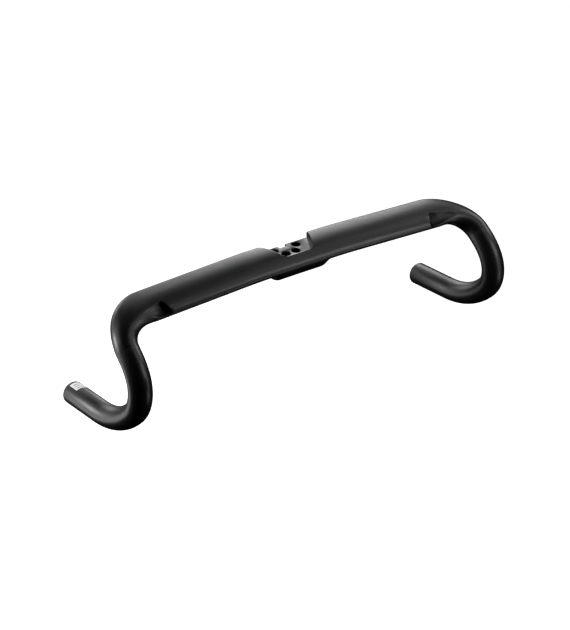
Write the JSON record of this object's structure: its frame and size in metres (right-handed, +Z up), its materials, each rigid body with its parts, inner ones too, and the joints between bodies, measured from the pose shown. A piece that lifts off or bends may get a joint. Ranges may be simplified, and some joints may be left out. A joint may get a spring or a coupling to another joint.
{
  "type": "drop handlebar",
  "caption": "Drop handlebar with a flattened aerofoil top, a recessed stem pad with bolt holes, hose ports at the shoulders and short hooked drops.",
  "frame": {"origin": "midway between the two rear stem bolts, on the face of the stem pad", "axes": "+Z up, square to the stem pad; -Y forward along the bike; X across the bar, with -X the end that carries the size label"},
  "size_m": [0.463, 0.1378, 0.1423],
  "materials": {
    "carbon_wing": "matte clear-coated black carbon laminate",
    "carbon_tube": "matte clear-coated black carbon laminate",
    "raw_carbon": "bare moulded carbon",
    "core": "moulded fibre-filled black core, painted with the bar",
    "sleeve_metal": "black anodised",
    "label_film": "white printed film"
  },
  "bodies": {
    "root": {"top_wing": "carbon_wing", "left_drop": "carbon_tube", "right_drop": "carbon_tube", "left_joint_sleeve": "raw_carbon", "right_joint_sleeve": "raw_carbon", "clamp_core": "core", "rear_left_bolt_sleeve": "sleeve_metal", "rear_right_bolt_sleeve": "sleeve_metal", "front_left_bolt_sleeve": "sleeve_metal", "front_right_bolt_sleeve": "sleeve_metal", "size_label": "label_film"}
  },
  "joints": []
}
